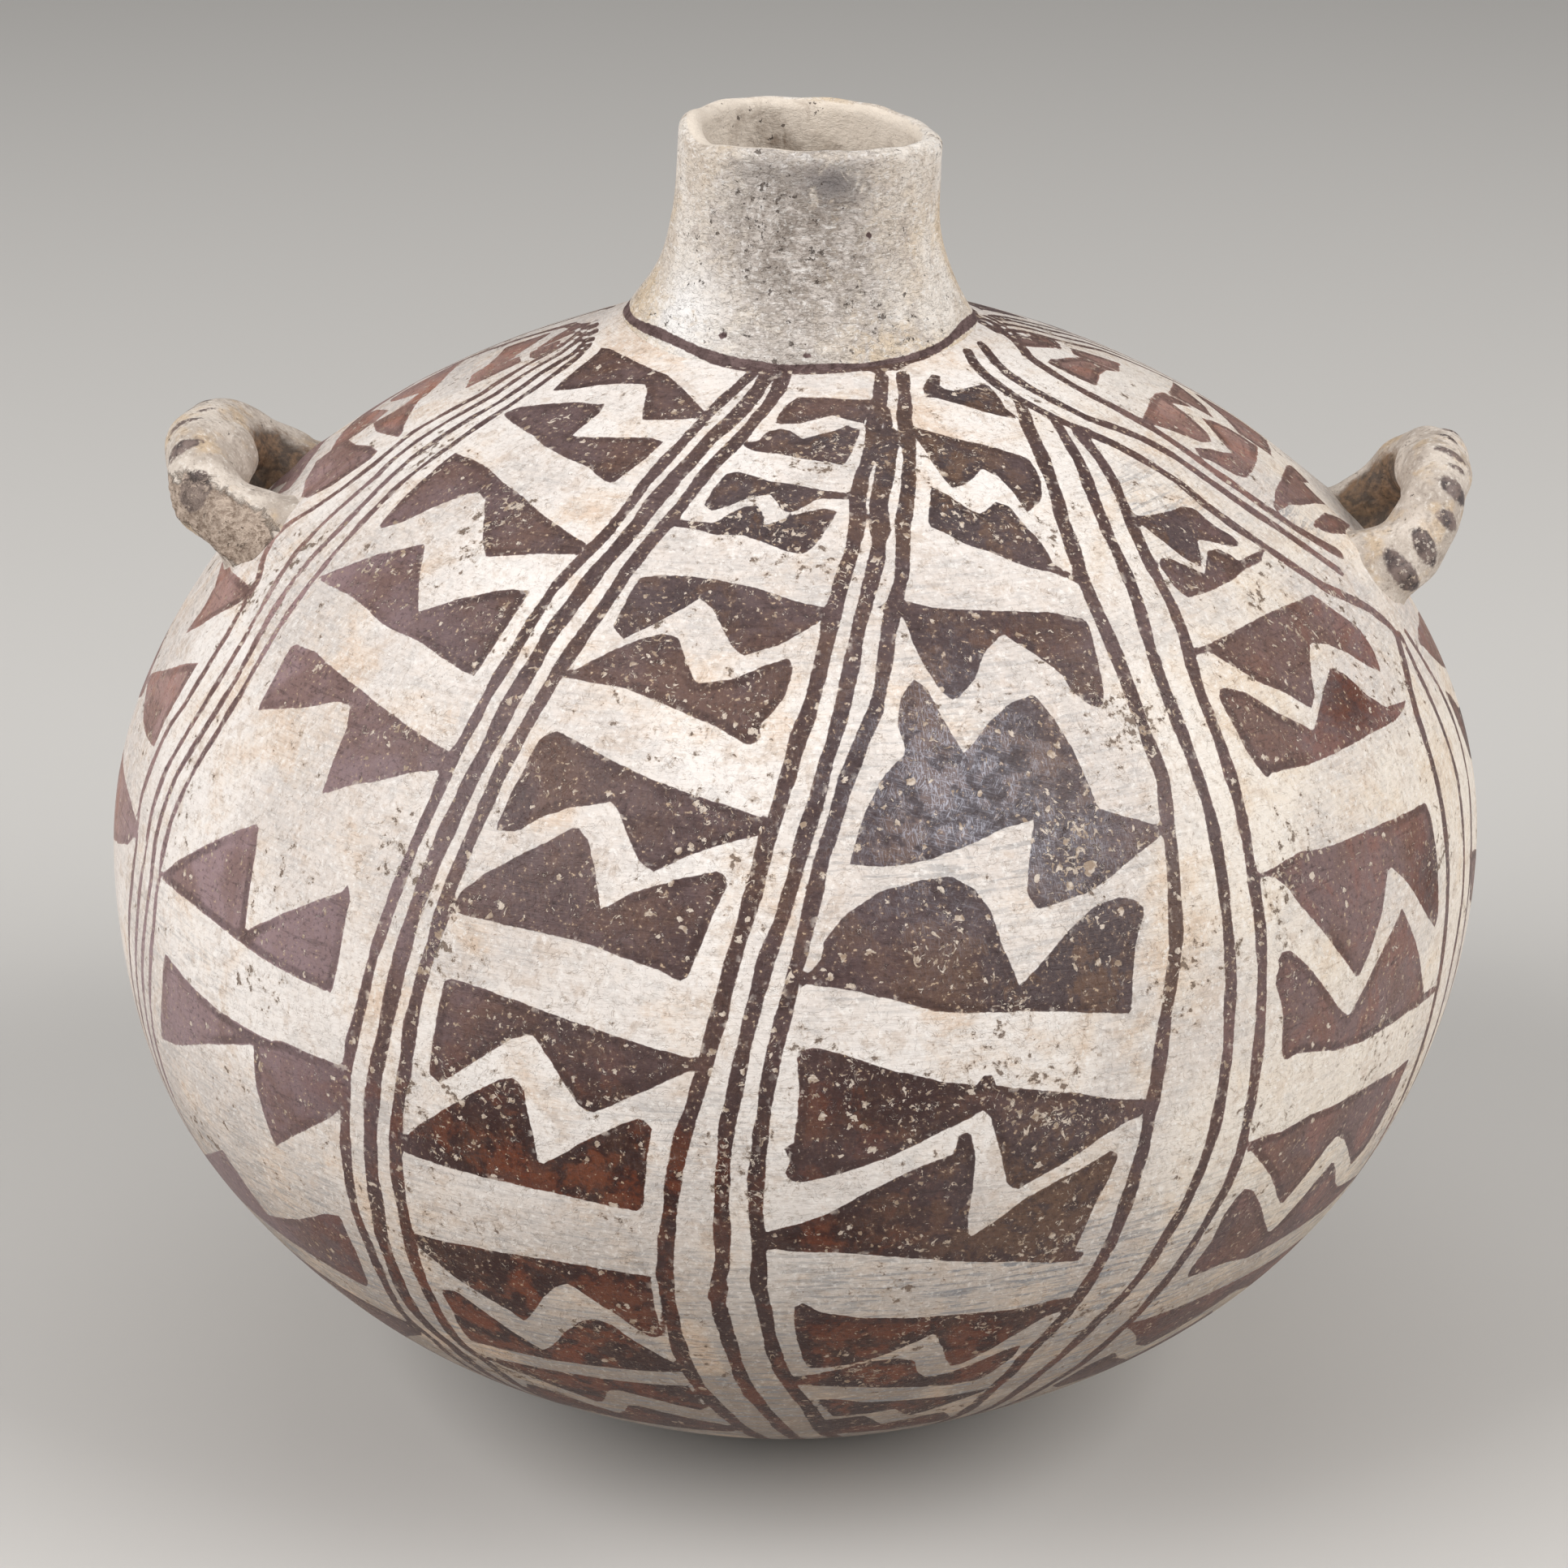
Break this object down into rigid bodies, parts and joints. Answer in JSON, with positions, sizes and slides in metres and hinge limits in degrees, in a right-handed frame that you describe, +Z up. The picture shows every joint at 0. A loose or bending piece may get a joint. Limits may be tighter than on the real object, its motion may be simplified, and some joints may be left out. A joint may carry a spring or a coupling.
{
  "type": "pottery canteen",
  "caption": "Round hand-built pottery canteen with a short neck, a rounded lip and two small shoulder loops for a carrying cord.",
  "frame": {"origin": "middle of the flat that the canteen rests on", "axes": "+Z up through the neck, -Y to the front that the picture shows, +X to the viewer's right, where the right loop is"},
  "size_m": [0.216, 0.216, 0.2052],
  "materials": {
    "painted_slip": "cream slip, burnished, with purple-brown to black mineral paint, worn and flecked",
    "plain_slip": "grey-white slip, pitted and smudged, unpainted",
    "handle_slip": "cream slip with short dark paint strokes, worn at the edges"
  },
  "bodies": {
    "root": {"base_dish": "painted_slip", "belly_wall": "painted_slip", "shoulder_wall": "painted_slip", "neck": "plain_slip", "lip": "plain_slip", "handle_left": "handle_slip", "handle_right": "handle_slip"}
  },
  "joints": []
}
